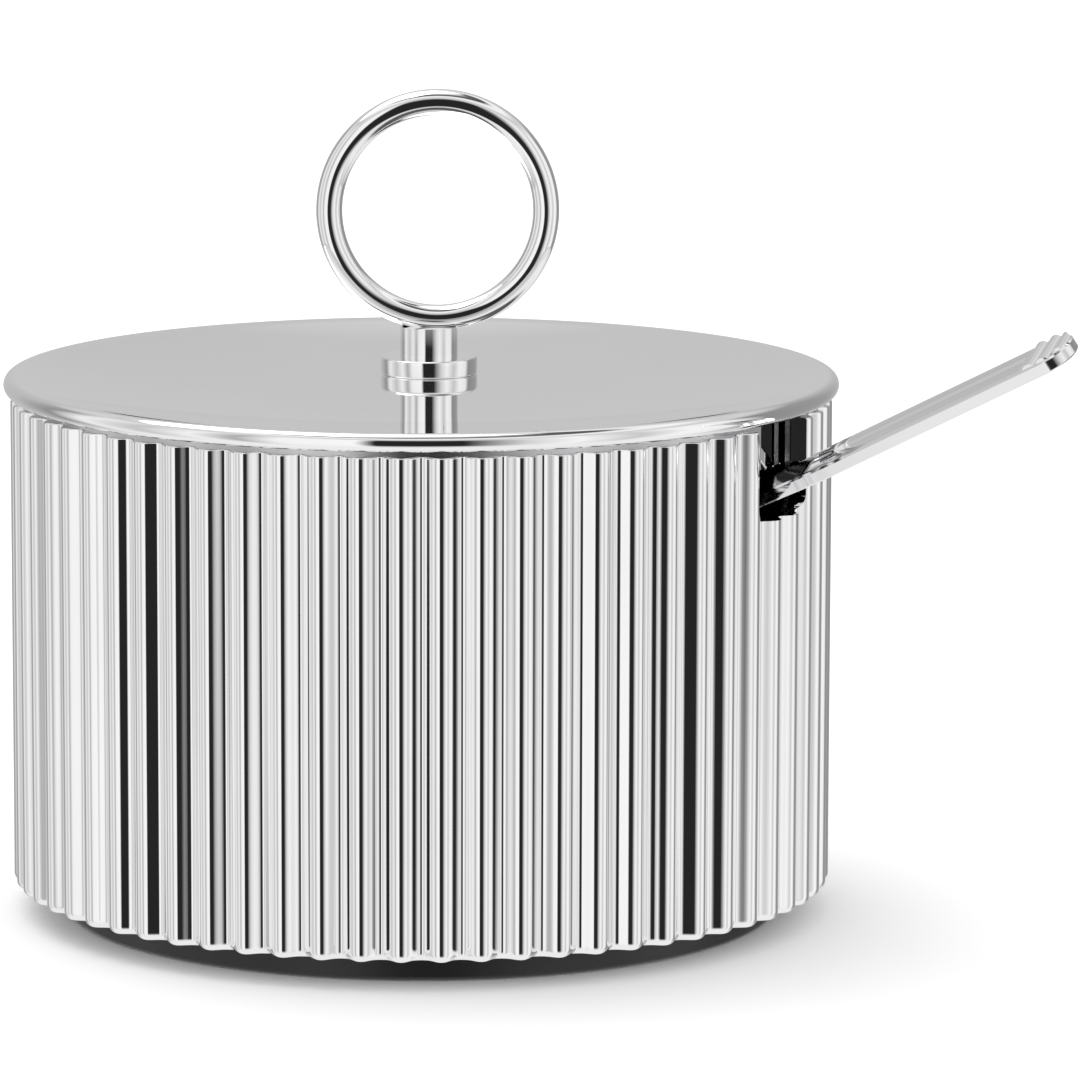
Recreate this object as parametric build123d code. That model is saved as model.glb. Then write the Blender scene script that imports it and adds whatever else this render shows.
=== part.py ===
from build123d import *
from math import atan, cos, degrees, pi, radians, sin, sqrt
import os

# A round sugar bowl with a fluted steel wall, a dished steel lid with a ring finial,
# a smooth inner cup, a black base and a spoon that leans out of a notch in the wall.
# Millimetres. The origin is the centre of the base's underside, +Z is up, the ring
# faces -Y, and angles round the bowl are measured from -Y towards +X.

# ---- base and fluted shell -------------------------------------------------------
base_radius = 35.0
base_height = 2.75
base_edge_radius = 0.5

ridge_radius = 40.0          # outside of the flutes' ridges
flute_count = 65
flute_depth = 1.1            # ridge to valley
ridge_share = 0.55           # of the pitch and depth that the ridge's arc takes
shell_height = 47.7
shell_wall = 0.9             # at the valleys
shell_floor = 0.8
foot_chamfer = 0.6           # off the flutes' lower ends

# ---- inner cup -------------------------------------------------------------------
cup_wall = 0.5
cup_clearance = 0.2          # between the cup and the flutes' inner side
cup_floor_gap = 0.1
cup_corner_radius = 6.0
lip_overhang = 0.9           # how far the cup's lip lies over the shell's edge

# ---- notch for the spoon ---------------------------------------------------------
notch_angle = 60.4
notch_width = 10.5
notch_depth = 8.85           # below the shell's upper edge
notch_corner_radius = 1.5
cup_notch_clearance = 0.3    # the cup's notch is this much larger on each side

# ---- lid -------------------------------------------------------------------------
lid_gap = 0.04               # play between the lid and the cup's lip
lid_overhang = 0.65          # past the flutes' ridges
lid_edge_radius = 0.88       # half of the full round edge's height
dish_depth = 4.25            # from the top of the edge to the middle of the dish
lid_wall = 1.2
skirt_rise = 4.14            # of the skirt's lower edge above the notch's bottom
skirt_wall = 0.8
skirt_clearance = 0.35       # between the skirt and the inner cup

# ---- finial ----------------------------------------------------------------------
finial_offset = 0.75         # the finial stands this far to +X of the lid's centre
neck_radius = 2.8
lower_neck_height = 2.45
collar_radius = 4.71
collar_disc_height = 1.71    # each of the two discs
collar_edge_radius = 0.2
collar_foot_radius = 0.5
upper_neck_height = 2.45     # to the lowest point of the ring
ring_outer_diameter = 23.6
ring_section = 2.55
ring_offset = 0.85           # the ring stands this far to +X of its neck
ring_sink = 0.5              # how far the neck runs up round the ring's underside

# ---- screw under the lid ---------------------------------------------------------
screw_radius = 1.5
screw_clearance = 0.05
lid_hole_clearance = 0.2
screw_reach = 3.1            # above the middle of the dish
screw_head_radius = 2.75
screw_head_height = 1.7
screw_slot_width = 0.8
screw_slot_depth = 0.8
washer_radius = 4.0
washer_height = 0.5
spigot_length = 0.9          # of the finial's upper half, down into the lower half

# ---- spoon -----------------------------------------------------------------------
spoon_slope = 27.2           # rise of the handle, degrees
spoon_roll = 20.0            # turn of the handle's face towards -Y, degrees
handle_rise = 3.45           # of the handle's middle line above the notch's bottom, at the ridges
handle_reach = 33.2          # from that crossing to the tip
handle_width = 5.5
handle_thickness = 1.33
handle_bevel = 0.18
neck_width = 3.3
neck_start = 6.0             # outside the crossing, where the handle starts to narrow
neck_end = 4.5               # inside the crossing, where the narrowing ends
groove_width = 3.7
groove_depth = 0.42
groove_tip_gap = 5.3         # from the groove's outer end to the tip
groove_length = 24.5
bead_count = 3
bead_pitch = 1.55
bead_radius = 0.8
bead_rise = 0.32             # above the handle's face
spoon_bowl_length = 35.0
spoon_bowl_width = 22.0
spoon_bowl_depth = 5.6
spoon_bowl_wall = 0.9
spoon_inner_reach = 83.0     # from the crossing down to the bowl's far end

# ---- heights and radii that follow -----------------------------------------------
valley_radius = ridge_radius - flute_depth
shell_top = base_height + shell_height
cup_radius = valley_radius - shell_wall - cup_clearance
cup_inner_radius = cup_radius - cup_wall
cup_bottom = base_height + shell_floor + cup_floor_gap
lip_top = shell_top + cup_wall

lid_underside = lip_top + lid_gap
notch_bottom = shell_top - notch_depth
skirt_height = lid_underside - notch_bottom - skirt_rise
spoon_height = notch_bottom + handle_rise
edge_circle = ridge_radius + lid_overhang - lid_edge_radius
edge_middle = lid_underside + lid_edge_radius
lid_top = edge_middle + lid_edge_radius
dish_bottom = lid_top - dish_depth
dish_slope = 2 * atan(dish_depth / edge_circle)
dish_sphere = edge_circle / sin(dish_slope) - lid_edge_radius
dish_centre = dish_bottom + dish_sphere
under_sphere = dish_sphere + lid_wall
under_radius = sqrt(under_sphere**2 - (dish_centre - lid_underside) ** 2)
skirt_radius = cup_inner_radius - skirt_clearance

collar_bottom = dish_bottom + lower_neck_height
collar_seam = collar_bottom + collar_disc_height
collar_top = collar_seam + collar_disc_height
ring_bottom = collar_top + upper_neck_height
ring_circle = (ring_outer_diameter - ring_section) / 2
ring_middle = ring_bottom + ring_outer_diameter / 2
dish_underside = dish_bottom - lid_wall
washer_bottom = dish_underside - washer_height

finial_place = Pos(finial_offset, 0, 0)


def turned(outline):
    """A solid of revolution about Z from the lines of a closed outline of (radius, height)."""
    return revolve(Plane.XZ * make_face(Curve() + outline), Axis.Z)


def fluted_face():
    """The outside of the flutes as a face on Z = 0: one arc over each ridge and valley."""
    half_pitch = pi / flute_count
    join_radius = ridge_radius - flute_depth * ridge_share
    arcs = []
    for flute in range(flute_count):
        valley = 2 * half_pitch * flute
        before = valley - half_pitch * (1 - ridge_share)
        after = valley + half_pitch * (1 - ridge_share)
        ridge = valley + half_pitch
        following = valley + half_pitch * (1 + ridge_share)
        arcs.append(
            ThreePointArc(
                around(join_radius, before), around(valley_radius, valley), around(join_radius, after)
            )
        )
        arcs.append(
            ThreePointArc(
                around(join_radius, after), around(ridge_radius, ridge), around(join_radius, following)
            )
        )
    return make_face(Curve() + arcs)


def around(radius, angle):
    return (radius * sin(angle), -radius * cos(angle))


def notch_tool(clearance):
    """The notch's cutter: a round-cornered block that reaches out from the axis."""
    width = notch_width + 2 * clearance
    height = 2 * notch_depth + 2 * clearance
    reach = ridge_radius + lid_overhang
    face = RectangleRounded(width, height, notch_corner_radius + clearance)
    block = extrude(Plane.XZ * face, reach)
    return Pos(0, 0, shell_top) * Rot(Z=notch_angle) * block


def fluted_shell():
    outside = extrude(fluted_face(), shell_height)
    foot = Pos(0, 0, foot_chamfer / 2) * Cone(
        ridge_radius - foot_chamfer, ridge_radius, foot_chamfer
    )
    body = Pos(0, 0, foot_chamfer) * Cylinder(
        ridge_radius, shell_height, align=(Align.CENTER, Align.CENTER, Align.MIN)
    )
    outside = outside & (foot + body)
    inside = Pos(0, 0, shell_floor) * extrude(Circle(valley_radius - shell_wall), shell_height)
    return Pos(0, 0, base_height) * (outside - inside) - notch_tool(0)


def inner_cup():
    corner = cup_corner_radius
    inner_corner = corner - cup_wall
    inner_bottom = cup_bottom + cup_wall
    outer_arc = CenterArc((cup_radius - corner, cup_bottom + corner), corner, 270, 90)
    inner_arc = CenterArc((cup_radius - corner, cup_bottom + corner), inner_corner, 270, 90)
    outline = [
        Line((0, inner_bottom), (0, cup_bottom)),
        Line((0, cup_bottom), outer_arc @ 0),
        outer_arc,
        Polyline(
            outer_arc @ 1,
            (cup_radius, shell_top),
            (cup_radius + cup_clearance + lip_overhang, shell_top),
            (cup_radius + cup_clearance + lip_overhang, lip_top),
            (cup_inner_radius, lip_top),
            inner_arc @ 1,
        ),
        inner_arc,
        Line(inner_arc @ 0, (0, inner_bottom)),
    ]
    return turned(outline) - notch_tool(cup_notch_clearance)


def base_pad():
    pad = extrude(Circle(base_radius), base_height)
    return fillet(pad.edges().group_by(Axis.Z)[0], base_edge_radius)


def lid_blank():
    """A dished plate of even wall with a full round edge and a flat rest underneath."""
    edge = (edge_circle, edge_middle)
    top_angle = 90 + degrees(dish_slope)
    bullnose = CenterArc(edge, lid_edge_radius, -90, 90 + top_angle)
    top_centre = (0, dish_centre)
    dish = CenterArc(top_centre, dish_sphere, -90, degrees(dish_slope))
    under_angle = degrees(atan(under_radius / (dish_centre - lid_underside)))
    under = CenterArc(top_centre, under_sphere, -90, under_angle)
    outline = [
        dish,
        bullnose,
        Line(bullnose @ 0, under @ 1),
        under,
        Line(under @ 0, dish @ 0),
    ]
    return turned(outline)


def lid_plate(blank):
    hole = extrude(Circle(screw_radius + lid_hole_clearance), lid_top)
    return blank - finial_place * hole


def lid_skirt(blank):
    ring = Circle(skirt_radius) - Circle(skirt_radius - skirt_wall)
    tube = Pos(0, 0, lid_underside - skirt_height) * extrude(ring, skirt_height)
    lower_edges = tube.edges().group_by(Axis.Z)[0]
    return fillet(lower_edges, skirt_wall / 4) - blank


def collar_disc(bottom, bottom_radius, top_radius):
    disc = Pos(0, 0, bottom) * extrude(Circle(collar_radius), collar_disc_height)
    disc = fillet(disc.edges().group_by(Axis.Z)[0], bottom_radius)
    return fillet(disc.edges().group_by(Axis.Z)[-1], top_radius)


def finial_base(blank):
    """The finial's lower half: neck and disc, bored right through for the screw."""
    bottom = dish_bottom - lid_wall / 2
    neck = Pos(0, 0, bottom) * extrude(Circle(neck_radius), collar_seam - bottom)
    disc = collar_disc(collar_bottom, collar_foot_radius, collar_edge_radius)
    bore = Pos(0, 0, bottom) * extrude(Circle(screw_radius + screw_clearance), collar_seam)
    return finial_place * (neck + disc - bore) - blank


def finial_ring():
    ring = Torus(ring_circle, ring_section / 2)
    return Pos(finial_offset + ring_offset, 0, ring_middle) * Rot(X=90) * ring


def finial_cap(ring):
    """The finial's upper half: a disc and neck, with a spigot into the lower half."""
    disc = collar_disc(collar_seam, collar_edge_radius, collar_edge_radius)
    neck_height = upper_neck_height + ring_sink
    neck = Pos(0, 0, collar_top) * extrude(Circle(neck_radius), neck_height)
    spigot = Pos(0, 0, collar_seam - spigot_length) * extrude(Circle(screw_radius), spigot_length)
    return finial_place * (disc + neck + spigot) - ring


def screw_washer(blank):
    ring = Circle(washer_radius) - Circle(screw_radius + lid_hole_clearance)
    washer = Pos(0, 0, washer_bottom) * extrude(ring, washer_height)
    return finial_place * washer - blank


def finial_screw():
    """A slotted pan-head screw that comes up through the washer and the lid."""
    head_bottom = washer_bottom - screw_head_height
    head = Pos(0, 0, head_bottom) * extrude(Circle(screw_head_radius), screw_head_height)
    head = fillet(head.edges().group_by(Axis.Z)[0], screw_head_height / 3)
    shank_height = dish_bottom + screw_reach - washer_bottom
    shank = Pos(0, 0, washer_bottom) * extrude(Circle(screw_radius), shank_height)
    slot = Box(2 * screw_head_radius, screw_slot_width, 2 * screw_slot_depth)
    return finial_place * (head + shank - Pos(0, 0, head_bottom) * slot)


def spoon_place():
    """From the spoon's own frame (X out along the handle, Z its face) to the bowl's."""
    crossing = (
        ridge_radius * sin(radians(notch_angle)),
        -ridge_radius * cos(radians(notch_angle)),
        spoon_height,
    )
    return Pos(*crossing) * Rot(Z=notch_angle - 90) * Rot(Y=-spoon_slope) * Rot(X=spoon_roll)


def handle_outline():
    """Half-width steps along the handle, mirrored about its middle line."""
    bowl_end = -spoon_inner_reach + spoon_bowl_length - spoon_bowl_wall
    half = handle_width / 2
    side = [
        Line((bowl_end, neck_width / 2), (-neck_end, neck_width / 2)),
        Spline(
            (-neck_end, neck_width / 2),
            (neck_start, half),
            tangents=[(1, 0), (1, 0)],
        ),
        Line((neck_start, half), (handle_reach - half, half)),
        CenterArc((handle_reach - half, 0), half, 0, 90),
    ]
    side.append(Polyline(side[-1] @ 0, (bowl_end, 0), side[0] @ 0))
    upper = make_face(Curve() + side)
    return upper + mirror(upper, Plane.XZ)


def spoon_handle():
    top = handle_thickness / 2
    blank = Pos(0, 0, -top) * extrude(handle_outline(), handle_thickness)
    rims = blank.faces().sort_by(Axis.Z)[-1].edges() + blank.faces().sort_by(Axis.Z)[0].edges()
    blank = chamfer(rims, handle_bevel)
    bead_end = handle_reach - bead_radius - handle_bevel
    beads = [Pos(bead_end - row * bead_pitch, 0, top + bead_rise - bead_radius) for row in range(bead_count)]
    for place in beads:
        bead = place * Rot(X=90) * Cylinder(bead_radius, handle_width - 2 * handle_bevel)
        blank = blank + (bead & handle_column())
    groove_radius = (groove_width**2 / 4 + groove_depth**2) / (2 * groove_depth)
    groove_end = handle_reach - groove_tip_gap
    channel = Pos(groove_end - groove_length / 2, 0, top - groove_depth + groove_radius)
    channel = channel * Rot(Y=90) * Cylinder(groove_radius, groove_length)
    return blank - channel


def handle_column():
    """The room over and in the handle that a bead may fill."""
    column = extrude(offset(handle_outline(), -handle_bevel), handle_thickness)
    return Pos(0, 0, -handle_thickness / 4) * column


def spoon_bowl():
    length = spoon_bowl_length / 2
    width = spoon_bowl_width / 2
    wall = spoon_bowl_wall
    outer = scale(Sphere(1), by=(length, width, spoon_bowl_depth))
    inner = scale(Sphere(1), by=(length - wall, width - wall, spoon_bowl_depth - wall))
    above = Box(
        2 * spoon_bowl_length, 2 * spoon_bowl_width, 2 * spoon_bowl_depth,
        align=(Align.CENTER, Align.CENTER, Align.MIN),
    )
    top = handle_thickness / 2
    middle = length - spoon_inner_reach
    shell = outer - inner - above
    return Pos(middle, 0, top) * shell


def sugar_spoon():
    return spoon_place() * (spoon_handle() + spoon_bowl())


def write_nodes():
    blank = lid_blank()
    ring = finial_ring()
    nodes = {
        "fluted_shell": fluted_shell(),
        "inner_cup": inner_cup(),
        "base_pad": base_pad(),
        "lid_plate": lid_plate(blank),
        "lid_skirt": lid_skirt(blank),
        "finial_base": finial_base(blank),
        "finial_cap": finial_cap(ring),
        "finial_ring": ring,
        "finial_screw": finial_screw(),
        "screw_washer": screw_washer(blank),
        "sugar_spoon": sugar_spoon(),
    }
    os.makedirs("parts", exist_ok=True)
    for name, solid in nodes.items():
        export_step(solid, f"parts/{name}.step")


write_nodes()
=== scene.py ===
"""A fluted sugar bowl with a dished lid, a ring finial, a black base and a leaning spoon."""

import logging
import math
from dataclasses import dataclass
from enum import Enum
from typing import Iterable

import bmesh
import bpy
from mathutils import Matrix, Vector


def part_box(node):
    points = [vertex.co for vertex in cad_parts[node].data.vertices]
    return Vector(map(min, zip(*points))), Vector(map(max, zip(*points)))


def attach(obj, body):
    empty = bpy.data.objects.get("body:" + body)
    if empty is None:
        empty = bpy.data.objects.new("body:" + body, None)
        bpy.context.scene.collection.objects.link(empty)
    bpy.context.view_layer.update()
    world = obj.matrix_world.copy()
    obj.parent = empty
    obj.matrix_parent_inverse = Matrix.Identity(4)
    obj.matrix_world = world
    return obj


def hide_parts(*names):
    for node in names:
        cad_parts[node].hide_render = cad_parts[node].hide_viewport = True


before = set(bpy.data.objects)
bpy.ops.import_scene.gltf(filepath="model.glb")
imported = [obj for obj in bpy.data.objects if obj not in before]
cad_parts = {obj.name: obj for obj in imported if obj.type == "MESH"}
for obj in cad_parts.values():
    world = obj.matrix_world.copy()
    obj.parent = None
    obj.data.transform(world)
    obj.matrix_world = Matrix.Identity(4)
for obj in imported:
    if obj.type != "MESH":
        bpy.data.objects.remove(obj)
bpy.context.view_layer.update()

MM = 0.001
log = logging.getLogger("sugar_bowl")

Point = tuple[float, float]


class Grain(Enum):
    """How a finish is worked: the marks that it carries."""

    MIRROR = "mirror"
    SATIN = "satin"
    MOULDED = "moulded"


@dataclass(frozen=True)
class Finish:
    """One material: its look and the marks that its grain leaves.

    Args:
        name: the material's name.
        slot: the record's material slot.
        color: base colour.
        metallic: 1 for metal, 0 for plastic.
        roughness: lowest roughness.
        spread: how much roughness the marks add.
        bump: strength of the marks' relief.
        scale: marks per metre.
        grain: how the surface is worked.
    """

    name: str
    slot: str
    color: tuple[float, float, float]
    metallic: float
    roughness: float
    spread: float
    bump: float
    scale: float
    grain: Grain

    def build(self, marks: bpy.types.NodeTree) -> bpy.types.Material:
        """Makes the material.

        Args:
            marks: the shared node group of surface marks.

        Returns:
            The finished material.
        """
        material = bpy.data.materials.new(self.name)
        material.use_nodes = True
        nodes, links = material.node_tree.nodes, material.node_tree.links
        shader = nodes["Principled BSDF"]
        shader.inputs["Metallic"].default_value = self.metallic
        group = nodes.new("ShaderNodeGroup")
        group.node_tree = marks
        place = nodes.new("ShaderNodeTexCoord")
        stretch = nodes.new("ShaderNodeMapping")
        stretch.inputs["Scale"].default_value = self.stretch()
        links.new(place.outputs["Object"], stretch.inputs["Vector"])
        links.new(stretch.outputs["Vector"], group.inputs["Vector"])
        group.inputs["Scale"].default_value = self.scale
        group.inputs["Lowest roughness"].default_value = self.roughness
        group.inputs["Roughness spread"].default_value = self.spread
        group.inputs["Colour"].default_value = (*self.color, 1.0)
        links.new(group.outputs["Colour"], shader.inputs["Base Color"])
        links.new(group.outputs["Roughness"], shader.inputs["Roughness"])
        bump = nodes.new("ShaderNodeBump")
        bump.inputs["Strength"].default_value = self.bump
        bump.inputs["Distance"].default_value = 0.02 * MM
        links.new(group.outputs["Height"], bump.inputs["Height"])
        links.new(bump.outputs["Normal"], shader.inputs["Normal"])
        return material

    def stretch(self) -> tuple[float, float, float]:
        """How the marks are drawn out along the work's direction.

        Returns:
            The scale of the marks along X, Y and Z.
        """
        if self.grain is Grain.SATIN:
            return (1.0, 1.0, 12.0)
        return (1.0, 1.0, 1.0)


def surface_marks() -> bpy.types.NodeTree:
    """Builds the shared group of fine marks, smudges and tone changes.

    Returns:
        A node group with Colour, Roughness and Height outputs.
    """
    group = bpy.data.node_groups.new("surface marks", "ShaderNodeTree")
    sockets = group.interface
    sockets.new_socket("Vector", in_out="INPUT", socket_type="NodeSocketVector")
    for name, value in (("Scale", 400.0), ("Lowest roughness", 0.03), ("Roughness spread", 0.03)):
        sockets.new_socket(name, in_out="INPUT", socket_type="NodeSocketFloat").default_value = value
    sockets.new_socket("Colour", in_out="INPUT", socket_type="NodeSocketColor")
    sockets.new_socket("Colour", in_out="OUTPUT", socket_type="NodeSocketColor")
    sockets.new_socket("Roughness", in_out="OUTPUT", socket_type="NodeSocketFloat")
    sockets.new_socket("Height", in_out="OUTPUT", socket_type="NodeSocketFloat")
    nodes, links = group.nodes, group.links
    given = nodes.new("NodeGroupInput")
    made = nodes.new("NodeGroupOutput")
    fine = nodes.new("ShaderNodeTexNoise")
    fine.inputs["Detail"].default_value = 4.0
    links.new(given.outputs["Vector"], fine.inputs["Vector"])
    links.new(given.outputs["Scale"], fine.inputs["Scale"])
    smudge = nodes.new("ShaderNodeTexNoise")
    smudge.inputs["Scale"].default_value = 38.0
    smudge.inputs["Detail"].default_value = 3.0
    links.new(given.outputs["Vector"], smudge.inputs["Vector"])
    product = nodes.new("ShaderNodeMath")
    product.operation = "MULTIPLY"
    links.new(fine.outputs["Fac"], product.inputs[0])
    links.new(smudge.outputs["Fac"], product.inputs[1])
    spread = nodes.new("ShaderNodeMath")
    spread.operation = "MULTIPLY_ADD"
    links.new(product.outputs["Value"], spread.inputs[0])
    links.new(given.outputs["Roughness spread"], spread.inputs[1])
    links.new(given.outputs["Lowest roughness"], spread.inputs[2])
    links.new(spread.outputs["Value"], made.inputs["Roughness"])
    tone = nodes.new("ShaderNodeMapRange")
    tone.inputs["To Min"].default_value = 0.95
    tone.inputs["To Max"].default_value = 1.04
    links.new(smudge.outputs["Fac"], tone.inputs["Value"])
    tint = nodes.new("ShaderNodeVectorMath")
    tint.operation = "SCALE"
    links.new(given.outputs["Colour"], tint.inputs[0])
    links.new(tone.outputs["Result"], tint.inputs["Scale"])
    links.new(tint.outputs["Vector"], made.inputs["Colour"])
    links.new(fine.outputs["Fac"], made.inputs["Height"])
    return group


FINISHES = (
    Finish("mirror steel", "polished_steel", (0.93, 0.93, 0.935), 1.0, 0.02, 0.05, 0.03, 900.0, Grain.MIRROR),
    Finish("cup steel", "cup_steel", (0.62, 0.62, 0.63), 1.0, 0.22, 0.16, 0.15, 900.0, Grain.SATIN),
    Finish("spoon steel", "spoon_steel", (0.88, 0.88, 0.89), 1.0, 0.06, 0.10, 0.05, 1200.0, Grain.MIRROR),
    Finish("screw steel", "screw_steel", (0.6, 0.6, 0.61), 1.0, 0.25, 0.15, 0.1, 1500.0, Grain.MIRROR),
    Finish("black base", "black_base", (0.012, 0.012, 0.013), 0.0, 0.32, 0.25, 0.35, 2600.0, Grain.MOULDED),
)


@dataclass
class Workshop:
    """Turns bmeshes into finished pieces.

    Args:
        materials: the finishes by slot name.
    """

    materials: dict[str, bpy.types.Material]

    def finish(
        self, name: str, bm: bmesh.types.BMesh, body: str, slot: str, nodes: Iterable[str]
    ) -> bpy.types.Object:
        """Makes an object of a bmesh and puts it in place of its CAD nodes.

        Args:
            name: the piece's name.
            bm: its shape, which is freed.
            body: the body that it rides on.
            slot: its finish.
            nodes: the CAD nodes that it stands for.

        Returns:
            The piece.
        """
        for face in bm.faces:
            face.smooth = True
        for edge in bm.edges:
            if len(edge.link_faces) == 2 and edge.calc_face_angle() > math.radians(32):
                edge.smooth = False
        mesh = bpy.data.meshes.new(name)
        bm.to_mesh(mesh)
        bm.free()
        piece = bpy.data.objects.new(name, mesh)
        bpy.context.collection.objects.link(piece)
        mesh.materials.append(self.materials[slot])
        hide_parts(*nodes)
        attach(piece, body)
        log.info("%s: %d faces", name, len(mesh.polygons))
        return piece

    def copy_of(self, node: str, body: str, slot: str) -> bpy.types.Object:
        """Makes a welded, smooth-shaded copy of a CAD node.

        Args:
            node: the CAD node.
            body: the body that it rides on.
            slot: its finish.

        Returns:
            The piece.
        """
        bm = bmesh.new()
        bm.from_mesh(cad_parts[node].data)
        bmesh.ops.remove_doubles(bm, verts=bm.verts, dist=0.002 * MM)
        return self.finish(f"{node}_piece", bm, body, slot, [node])


def turned(outline: Iterable[Point], steps: int) -> bmesh.types.BMesh:
    """Turns a closed outline about the Z axis.

    Args:
        outline: (radius, height) points in millimetres, in order round the section.
        steps: divisions of the full turn.

    Returns:
        The solid of revolution.
    """
    bm = bmesh.new()
    ring = [bm.verts.new((radius * MM, 0.0, height * MM)) for radius, height in outline]
    edges = [bm.edges.new(pair) for pair in zip(ring, ring[1:] + ring[:1])]
    bmesh.ops.spin(
        bm, geom=ring + edges, cent=(0, 0, 0), axis=(0, 0, 1), angle=2 * math.pi, steps=steps, use_merge=True
    )
    bmesh.ops.remove_doubles(bm, verts=bm.verts, dist=0.0005 * MM)
    bmesh.ops.dissolve_degenerate(bm, edges=bm.edges, dist=0.0005 * MM)
    bmesh.ops.recalc_face_normals(bm, faces=bm.faces)
    return bm


def arc(centre: Point, radius: float, start: float, end: float, steps: int) -> list[Point]:
    """Places points on an arc.

    Args:
        centre: (radius, height) of its centre, in millimetres.
        radius: in millimetres.
        start: first angle, in degrees from outwards towards up.
        end: last angle.
        steps: divisions.

    Returns:
        The points, both ends included.
    """
    angles = [math.radians(start + (end - start) * step / steps) for step in range(steps + 1)]
    return [(centre[0] + radius * math.cos(a), centre[1] + radius * math.sin(a)) for a in angles]


def top_of(node: str) -> float:
    """The height of a node's top.

    Args:
        node: the CAD node.

    Returns:
        The height in millimetres.
    """
    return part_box(node)[1][2] / MM


def foot_of(node: str) -> float:
    """The height of a node's lowest point.

    Args:
        node: the CAD node.

    Returns:
        The height in millimetres.
    """
    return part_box(node)[0][2] / MM


@dataclass
class Shell:
    """The fluted wall with its floor and its notch, in millimetres."""

    ridge_radius: float = 40.0
    flutes: int = 65
    depth: float = 1.1
    fullness: float = 0.12
    wall: float = 0.9
    floor: float = 0.8
    foot_radius: float = 0.9
    mouth_radius: float = 0.18
    samples: int = 20
    notch_angle: float = 60.4
    notch_width: float = 10.5
    notch_depth: float = 8.85
    notch_corner: float = 1.5

    def wave(self, angle: float, inset: float) -> Vector:
        """Finds a point on the flutes' wave.

        Args:
            angle: round from the front, in radians.
            inset: how far the point is moved in along the wave's normal.

        Returns:
            The point, in millimetres.
        """
        half = self.depth / 2
        phase = self.flutes * angle
        radius = self.ridge_radius - half * (1 - self.fullness)
        radius -= half * math.cos(phase) + half * self.fullness * math.cos(2 * phase)
        slope = half * self.flutes * (math.sin(phase) + 2 * self.fullness * math.sin(2 * phase))
        outwards = Vector((math.sin(angle), -math.cos(angle), 0))
        along = Vector((math.cos(angle), math.sin(angle), 0))
        normal = (outwards * radius - along * slope).normalized()
        return outwards * radius - normal * inset

    def section(self, foot: float, top: float) -> list[tuple[float, float, bool]]:
        """Rings of the wall from the floor's edge up, over and down inside.

        Args:
            foot: height of the underside.
            top: height of the upper edge.

        Returns:
            (inset, height, whether the ring is a plain circle) for each ring.
        """
        rings = [(4.0, foot, True), (self.depth + self.foot_radius, foot, True)]
        rounding = arc((0, foot + self.foot_radius), self.foot_radius, -90, 0, 7)
        rings += [(self.foot_radius - x, z, False) for x, z in rounding]
        mouth = arc((0, top - self.mouth_radius), self.mouth_radius, 0, 90, 3)
        rings += [(self.mouth_radius - x, z, False) for x, z in mouth]
        inside = self.depth + self.wall
        rings += [(inside, top, True), (inside, foot + self.floor, True)]
        return rings

    def build(self, shop: Workshop) -> bpy.types.Object:
        """Builds the shell.

        Args:
            shop: finishes the piece.

        Returns:
            The fluted shell.
        """
        foot, top = foot_of("fluted_shell"), top_of("fluted_shell")
        bm = bmesh.new()
        segments = self.flutes * self.samples
        bmesh.ops.create_circle(bm, segments=segments, radius=self.ridge_radius * MM)
        turns = bm.verts.layers.float.new("turn")
        for vert in bm.verts:
            vert[turns] = math.atan2(vert.co.x, -vert.co.y)
        ring = list(bm.edges)
        rings = self.section(foot, top)
        self.place(bm.verts, turns, *rings[0])
        for inset, height, plain in rings[1:]:
            grown = bmesh.ops.extrude_edge_only(bm, edges=ring)["geom"]
            ring = [item for item in grown if isinstance(item, bmesh.types.BMEdge)]
            ring = [edge for edge in ring if len(edge.link_faces) == 1]
            self.place({vert for edge in ring for vert in edge.verts}, turns, inset, height, plain)
        bmesh.ops.holes_fill(bm, edges=[edge for edge in bm.edges if len(edge.link_faces) == 1], sides=0)
        bmesh.ops.recalc_face_normals(bm, faces=bm.faces)
        return self.cut_notch(bm, top, shop)

    def place(
        self,
        verts: Iterable[bmesh.types.BMVert],
        turns: bmesh.types.BMLayerItem,
        inset: float,
        height: float,
        plain: bool,
    ) -> None:
        """Moves a ring of vertices to its place, each at the angle that it keeps.

        Args:
            verts: the ring.
            turns: the layer that holds each vertex's angle.
            inset: how far inside the ridges or the wave the ring lies.
            height: of the ring.
            plain: whether it is a circle and not a wave.
        """
        for vert in verts:
            angle = vert[turns]
            if plain:
                radius = self.ridge_radius - inset
                spot = Vector((math.sin(angle), -math.cos(angle), 0)) * radius
            else:
                spot = self.wave(angle, inset)
            vert.co = Vector((spot.x, spot.y, height)) * MM

    def cut_notch(self, bm: bmesh.types.BMesh, top: float, shop: Workshop) -> bpy.types.Object:
        """Cuts the spoon's notch out of the wall.

        Args:
            bm: the whole wall.
            top: height of its upper edge.
            shop: finishes the piece.

        Returns:
            The shell with its notch.
        """
        whole = bpy.data.meshes.new("whole shell")
        bm.to_mesh(whole)
        bm.free()
        shell = bpy.data.objects.new("whole_shell", whole)
        cutter = bpy.data.objects.new("notch_cutter", self.notch_block(top))
        for item in (shell, cutter):
            bpy.context.collection.objects.link(item)
        cut = shell.modifiers.new("notch", "BOOLEAN")
        cut.object = cutter
        cut.operation = "DIFFERENCE"
        cut.solver = "EXACT"
        graph = bpy.context.evaluated_depsgraph_get()
        result = bmesh.new()
        result.from_mesh(bpy.data.meshes.new_from_object(shell.evaluated_get(graph)))
        for item in (shell, cutter):
            bpy.data.objects.remove(item)
        return shop.finish("fluted_shell_piece", result, "bowl", "polished_steel", ["fluted_shell"])

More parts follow.
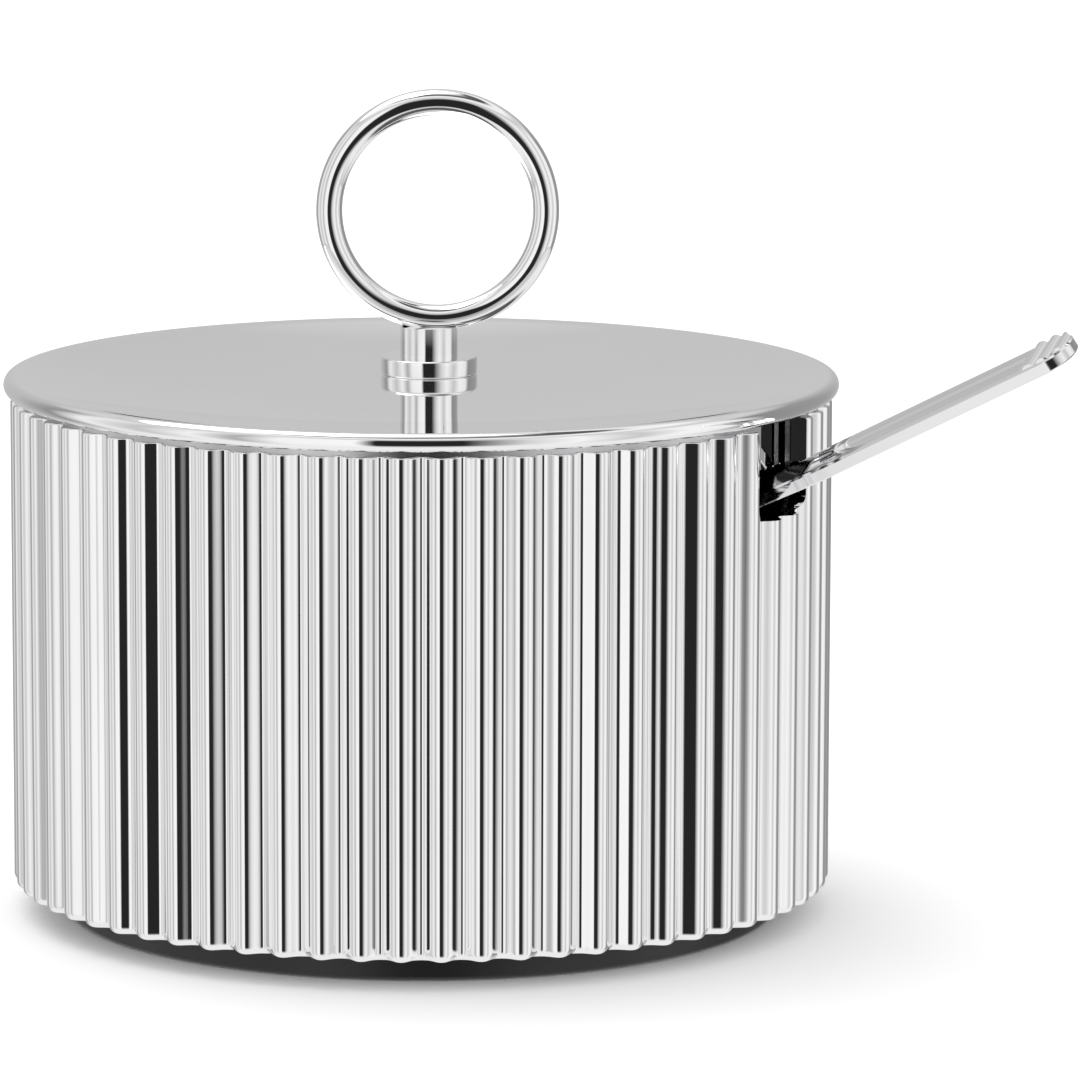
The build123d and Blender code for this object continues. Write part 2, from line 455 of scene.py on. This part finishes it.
    def notch_block(self, top: float) -> bpy.types.Mesh:
        """Makes the notch's cutter, a block with rounded lengthwise edges.

        Args:
            top: height of the wall's upper edge.

        Returns:
            The cutter's mesh.
        """
        bm = bmesh.new()
        reach = self.ridge_radius
        size = Vector((self.notch_width, reach, 2 * self.notch_depth)) * MM
        bmesh.ops.create_cube(bm, size=1.0, matrix=Matrix.Diagonal((*size, 1.0)))
        edges = [e for e in bm.edges if abs((e.verts[0].co - e.verts[1].co).y) > reach * MM / 2]
        bmesh.ops.bevel(
            bm, geom=edges, offset=self.notch_corner * MM, offset_type="OFFSET", segments=6,
            profile=0.5, affect="EDGES", material=-1,
        )
        bmesh.ops.translate(bm, verts=bm.verts, vec=Vector((0, -reach * 0.8, top)) * MM)
        turn = Matrix.Rotation(math.radians(self.notch_angle), 3, "Z")
        bmesh.ops.rotate(bm, verts=bm.verts, cent=(0, 0, 0), matrix=turn)
        mesh = bpy.data.meshes.new("notch block")
        bm.to_mesh(mesh)
        bm.free()
        return mesh


@dataclass
class Lid:
    """The dished lid and the skirt under it, in millimetres."""

    edge_radius: float = 0.88
    dish_depth: float = 4.25
    wall: float = 1.2

    def build(self, shop: Workshop) -> None:
        """Builds the plate and the skirt.

        Args:
            shop: finishes the pieces.
        """
        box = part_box("lid_plate")
        outer, top = box[1][0] / MM, top_of("lid_plate")
        edge = (outer - self.edge_radius, top - self.edge_radius)
        slope = 2 * math.atan(self.dish_depth / edge[0])
        sphere = edge[0] / math.sin(slope) - self.edge_radius
        centre = (0.0, top - self.dish_depth + sphere)
        underside = top - 2 * self.edge_radius
        under = sphere + self.wall
        tilt = math.degrees(math.acos((centre[1] - underside) / under))
        outline = arc(centre, sphere, -90, -90 + math.degrees(slope), 30)
        outline += arc(edge, self.edge_radius, 90 + math.degrees(slope), -90, 24)[1:]
        outline += arc(centre, under, -90 + tilt, -90, 20)
        plate = turned(outline, 256)
        shop.finish("lid_plate_piece", plate, "lid", "polished_steel", ["lid_plate"])
        shop.copy_of("lid_skirt", "lid", "polished_steel")


@dataclass
class Finial:
    """The two turned halves of the finial and its ring, in millimetres."""

    offset: float = 0.75
    neck_radius: float = 2.8
    collar_radius: float = 4.71
    edge_radius: float = 0.2
    foot_radius: float = 0.5
    disc_height: float = 1.71
    upper_neck: float = 2.45
    section: float = 2.55

    def build(self, shop: Workshop) -> None:
        """Builds the lower half, the upper half and the ring.

        Args:
            shop: finishes the pieces.
        """
        seam = top_of("finial_base")
        bottom = foot_of("finial_base")
        disc_foot = seam - self.disc_height
        lower = [(0.0, bottom), (self.neck_radius, bottom)]
        lower += [(self.neck_radius, disc_foot)]
        rim = self.collar_radius
        lower += arc((rim - self.foot_radius, disc_foot + self.foot_radius), self.foot_radius, -90, 0, 7)
        lower += arc((rim - self.edge_radius, seam - self.edge_radius), self.edge_radius, 0, 90, 5)
        lower += [(0.0, seam)]
        self.half("finial_base", lower, shop)
        upper = [(0.0, seam)]
        upper += arc((rim - self.edge_radius, seam + self.edge_radius), self.edge_radius, -90, 0, 5)
        disc_top = seam + self.disc_height
        upper += arc((rim - self.edge_radius, disc_top - self.edge_radius), self.edge_radius, 0, 90, 5)
        neck_top = top_of("finial_cap") - 0.02
        upper += [(self.neck_radius, disc_top), (self.neck_radius, neck_top), (0.0, neck_top)]
        self.half("finial_cap", upper, shop)
        self.ring(shop)

    def half(self, node: str, outline: list[Point], shop: Workshop) -> None:
        """Turns one half and stands it on the finial's own axis.

        Args:
            node: the CAD node that it stands for.
            outline: its section.
            shop: finishes the piece.
        """
        bm = turned(outline, 128)
        bmesh.ops.translate(bm, verts=bm.verts, vec=(self.offset * MM, 0, 0))
        shop.finish(f"{node}_piece", bm, "lid", "polished_steel", [node])

    def ring(self, shop: Workshop) -> None:
        """Bends a round bar into the upright ring.

        Args:
            shop: finishes the piece.
        """
        low, high = (Vector(corner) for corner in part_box("finial_ring"))
        bar = self.section / 2
        circle = (high.z - low.z) / 2 / MM - bar
        bm = turned(arc((circle, 0.0), bar, 0, 360 * 39 / 40, 39), 192)
        turn = Matrix.Rotation(math.radians(90), 3, "X")
        bmesh.ops.rotate(bm, verts=bm.verts, cent=(0, 0, 0), matrix=turn)
        bmesh.ops.translate(bm, verts=bm.verts, vec=(low + high) / 2)
        shop.finish("finial_ring_piece", bm, "lid", "polished_steel", ["finial_ring"])


@dataclass
class Base:
    """The black base, in millimetres."""

    edge_radius: float = 0.5

    def build(self, shop: Workshop) -> None:
        """Builds the base.

        Args:
            shop: finishes the piece.
        """
        radius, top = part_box("base_pad")[1][0] / MM, top_of("base_pad")
        outline = [(0.0, 0.0)]
        outline += arc((radius - self.edge_radius, self.edge_radius), self.edge_radius, -90, 0, 6)
        outline += arc((radius - 0.2, top - 0.2), 0.2, 0, 90, 3) + [(0.0, top)]
        shop.finish("base_pad_piece", turned(outline, 192), "bowl", "black_base", ["base_pad"])


@dataclass
class Graph:
    """A node tree with short ways to add what the studio's light needs.

    Args:
        tree: the node tree that is added to.
    """

    tree: bpy.types.NodeTree

    def feed(self, target: bpy.types.NodeSocket, value: bpy.types.NodeSocket | float) -> None:
        """Links a socket to an input, or sets the input to a number.

        Args:
            target: the input.
            value: the socket or the number.
        """
        if isinstance(value, float):
            target.default_value = value
        else:
            self.tree.links.new(value, target)

    def math(self, operation: str, *values: bpy.types.NodeSocket | float) -> bpy.types.NodeSocket:
        """Adds a math node.

        Args:
            operation: what it works out.
            values: sockets or numbers for its inputs.

        Returns:
            Its output.
        """
        node = self.tree.nodes.new("ShaderNodeMath")
        node.operation = operation
        for socket, value in zip(node.inputs, values):
            self.feed(socket, value)
        return node.outputs["Value"]

    def share(self, value: bpy.types.NodeSocket, start: float, end: float) -> bpy.types.NodeSocket:
        """Adds a map from two angles to 0 and 1.

        Args:
            value: an angle in radians.
            start: the angle that gives 0, in degrees.
            end: the angle that gives 1, in degrees.

        Returns:
            Its output.
        """
        node = self.tree.nodes.new("ShaderNodeMapRange")
        node.inputs["From Min"].default_value = math.radians(start)
        node.inputs["From Max"].default_value = math.radians(end)
        self.tree.links.new(value, node.inputs["Value"])
        return node.outputs["Result"]

    def ramp(self, share: bpy.types.NodeSocket, stops: Iterable[Point]) -> bpy.types.NodeSocket:
        """Adds a grey ramp.

        Args:
            share: where on the ramp, from 0 to 1.
            stops: (angle in degrees, grey) in order; the first and last are the ramp's ends.

        Returns:
            Its colour.
        """
        stops = list(stops)
        node = self.tree.nodes.new("ShaderNodeValToRGB")
        elements = node.color_ramp.elements
        lowest, span = stops[0][0], stops[-1][0] - stops[0][0]
        for angle, _grey in stops[1:-1]:
            elements.new((angle - lowest) / span)
        for element, (_angle, grey) in zip(elements, stops):
            element.color = (grey, grey, grey, 1)
        self.tree.links.new(share, node.inputs["Fac"])
        return node.outputs["Color"]

    def mix(
        self, share: bpy.types.NodeSocket, color: bpy.types.NodeSocket, other: bpy.types.NodeSocket | float
    ) -> bpy.types.NodeSocket:
        """Adds a mix of two colours.

        Args:
            share: how much of the second.
            color: the first.
            other: the second, a socket or a grey.

        Returns:
            The mixed colour.
        """
        node = self.tree.nodes.new("ShaderNodeMix")
        node.data_type = "RGBA"
        factor, first, second = node.inputs[0], node.inputs[6], node.inputs[7]
        self.tree.links.new(share, factor)
        self.tree.links.new(color, first)
        if isinstance(other, float):
            second.default_value = (other, other, other, 1)
        else:
            self.tree.links.new(other, second)
        return node.outputs[2]


@dataclass
class Studio:
    """The floor, the light and the camera.

    Args:
        distance: of the camera from the bowl's axis, in metres.
        height: of the camera, in metres.
        pitch: how far it looks down, in radians.
        lens: in millimetres on a 36 mm sensor.
        shift: sideways shift of the lens, as a share of the frame.
        floor_size: half the floor's width, in metres.
        lamp_place: of the lamp, in metres.
        lamp_size: its width, in metres.
        lamp_power: in watts.
        floor_light: how bright the surround is to matt surfaces.
        walls: (degrees round from the front, grey) of what the polish reflects.
        roof: (degrees above the horizon, grey) of what it reflects overhead.
    """

    distance: float = 0.700
    height: float = 0.1533
    pitch: float = 0.1658
    lens: float = 242.0
    shift: float = 0.11
    floor_size: float = 6.0
    lamp_place: tuple[float, float, float] = (-0.3, 0.25, 1.1)
    lamp_size: float = 0.9
    lamp_power: float = 5.0
    floor_light: float = 1.12
    walls: tuple[Point, ...] = (
        (-180, 0.58), (-145, 0.50), (-122, 0.30), (-106, 0.92), (-84, 0.60), (-66, 0.95), (-52, 0.45),
        (-40, 0.95), (-18, 1.0), (-13, 0.02), (12, 0.02), (19, 0.30), (30, 0.72), (44, 0.98), (62, 0.62),
        (78, 0.98), (98, 0.90), (108, 0.28), (145, 0.34), (180, 0.58),
    )
    roof: tuple[Point, ...] = (
        (-90, 0.9), (28, 0.9), (44, 0.62), (52, 0.98), (59, 0.9), (64, 0.08), (73, 0.14), (81, 0.85),
        (90, 0.9),
    )

    def build(self) -> None:
        """Builds the whole studio."""
        self.floor()
        self.surround()
        self.lamp()
        self.camera()
        bpy.context.scene.view_settings.view_transform = "Standard"

    def floor(self) -> None:
        """Lays the pale floor."""
        bm = bmesh.new()
        bmesh.ops.create_grid(bm, x_segments=2, y_segments=2, size=self.floor_size)
        mesh = bpy.data.meshes.new("floor")
        bm.to_mesh(mesh)
        bm.free()
        floor = bpy.data.objects.new("floor", mesh)
        bpy.context.collection.objects.link(floor)
        material = bpy.data.materials.new("pale floor")
        material.use_nodes = True
        shader = material.node_tree.nodes["Principled BSDF"]
        shader.inputs["Base Color"].default_value = (0.93, 0.93, 0.93, 1)
        shader.inputs["Roughness"].default_value = 0.9
        shader.inputs["Specular IOR Level"].default_value = 0.1
        mesh.materials.append(material)
        floor.visible_glossy = False

    def surround(self) -> None:
        """Sets softboxes and dark gaps all round as the world's light."""
        world = bpy.data.worlds.new("studio")
        bpy.context.scene.world = world
        world.use_nodes = True
        graph = Graph(world.node_tree)
        nodes, links = world.node_tree.nodes, world.node_tree.links
        place = nodes.new("ShaderNodeTexCoord")
        split = nodes.new("ShaderNodeSeparateXYZ")
        links.new(place.outputs["Generated"], split.inputs["Vector"])
        front = graph.math("MULTIPLY", split.outputs["Y"], -1.0)
        turn = graph.math("ARCTAN2", split.outputs["X"], front)
        walls = graph.ramp(graph.math("MULTIPLY_ADD", turn, 0.5 / math.pi, 0.5), self.walls)
        rise = graph.math("ARCSINE", split.outputs["Z"])
        low = graph.mix(graph.share(rise, -28, -50), walls, 0.9)
        roof = graph.ramp(graph.math("MULTIPLY_ADD", rise, 1 / math.pi, 0.5), self.roof)
        high = graph.mix(graph.share(rise, 28, 40), low, roof)
        path = nodes.new("ShaderNodeLightPath")
        soft = graph.mix(path.outputs["Is Diffuse Ray"], high, self.floor_light)
        seen = graph.mix(path.outputs["Is Camera Ray"], soft, 1.0)
        links.new(seen, nodes["Background"].inputs["Color"])

    def lamp(self) -> None:
        """Hangs a square lamp that looks at the bowl."""
        data = bpy.data.lights.new("overhead", "AREA")
        data.shape = "SQUARE"
        data.size = self.lamp_size
        data.energy = self.lamp_power
        lamp = bpy.data.objects.new("overhead", data)
        bpy.context.collection.objects.link(lamp)
        lamp.location = self.lamp_place
        aim = Vector((0, 0, 0.03)) - Vector(self.lamp_place)
        lamp.rotation_euler = aim.to_track_quat("-Z", "Y").to_euler()

    def camera(self) -> None:
        """Stands the camera in front, looking a little down."""
        data = bpy.data.cameras.new("camera")
        data.lens = self.lens
        data.sensor_width = 36.0
        data.shift_x = self.shift
        data.clip_end = 50.0
        camera = bpy.data.objects.new("camera", data)
        bpy.context.collection.objects.link(camera)
        camera.location = (0, -self.distance, self.height)
        camera.rotation_euler = (math.pi / 2 - self.pitch, 0, 0)
        bpy.context.scene.camera = camera


def main() -> None:
    """Builds the bowl and its studio."""
    logging.basicConfig(level=logging.INFO, format="%(name)s %(message)s")
    marks = surface_marks()
    shop = Workshop({finish.slot: finish.build(marks) for finish in FINISHES})
    Shell().build(shop)
    shop.copy_of("inner_cup", "bowl", "cup_steel")
    Base().build(shop)
    Lid().build(shop)
    Finial().build(shop)
    shop.copy_of("finial_screw", "lid", "screw_steel")
    shop.copy_of("screw_washer", "lid", "screw_steel")
    shop.copy_of("sugar_spoon", "spoon", "spoon_steel")
    Studio().build()


if __name__ == "__main__":
    main()
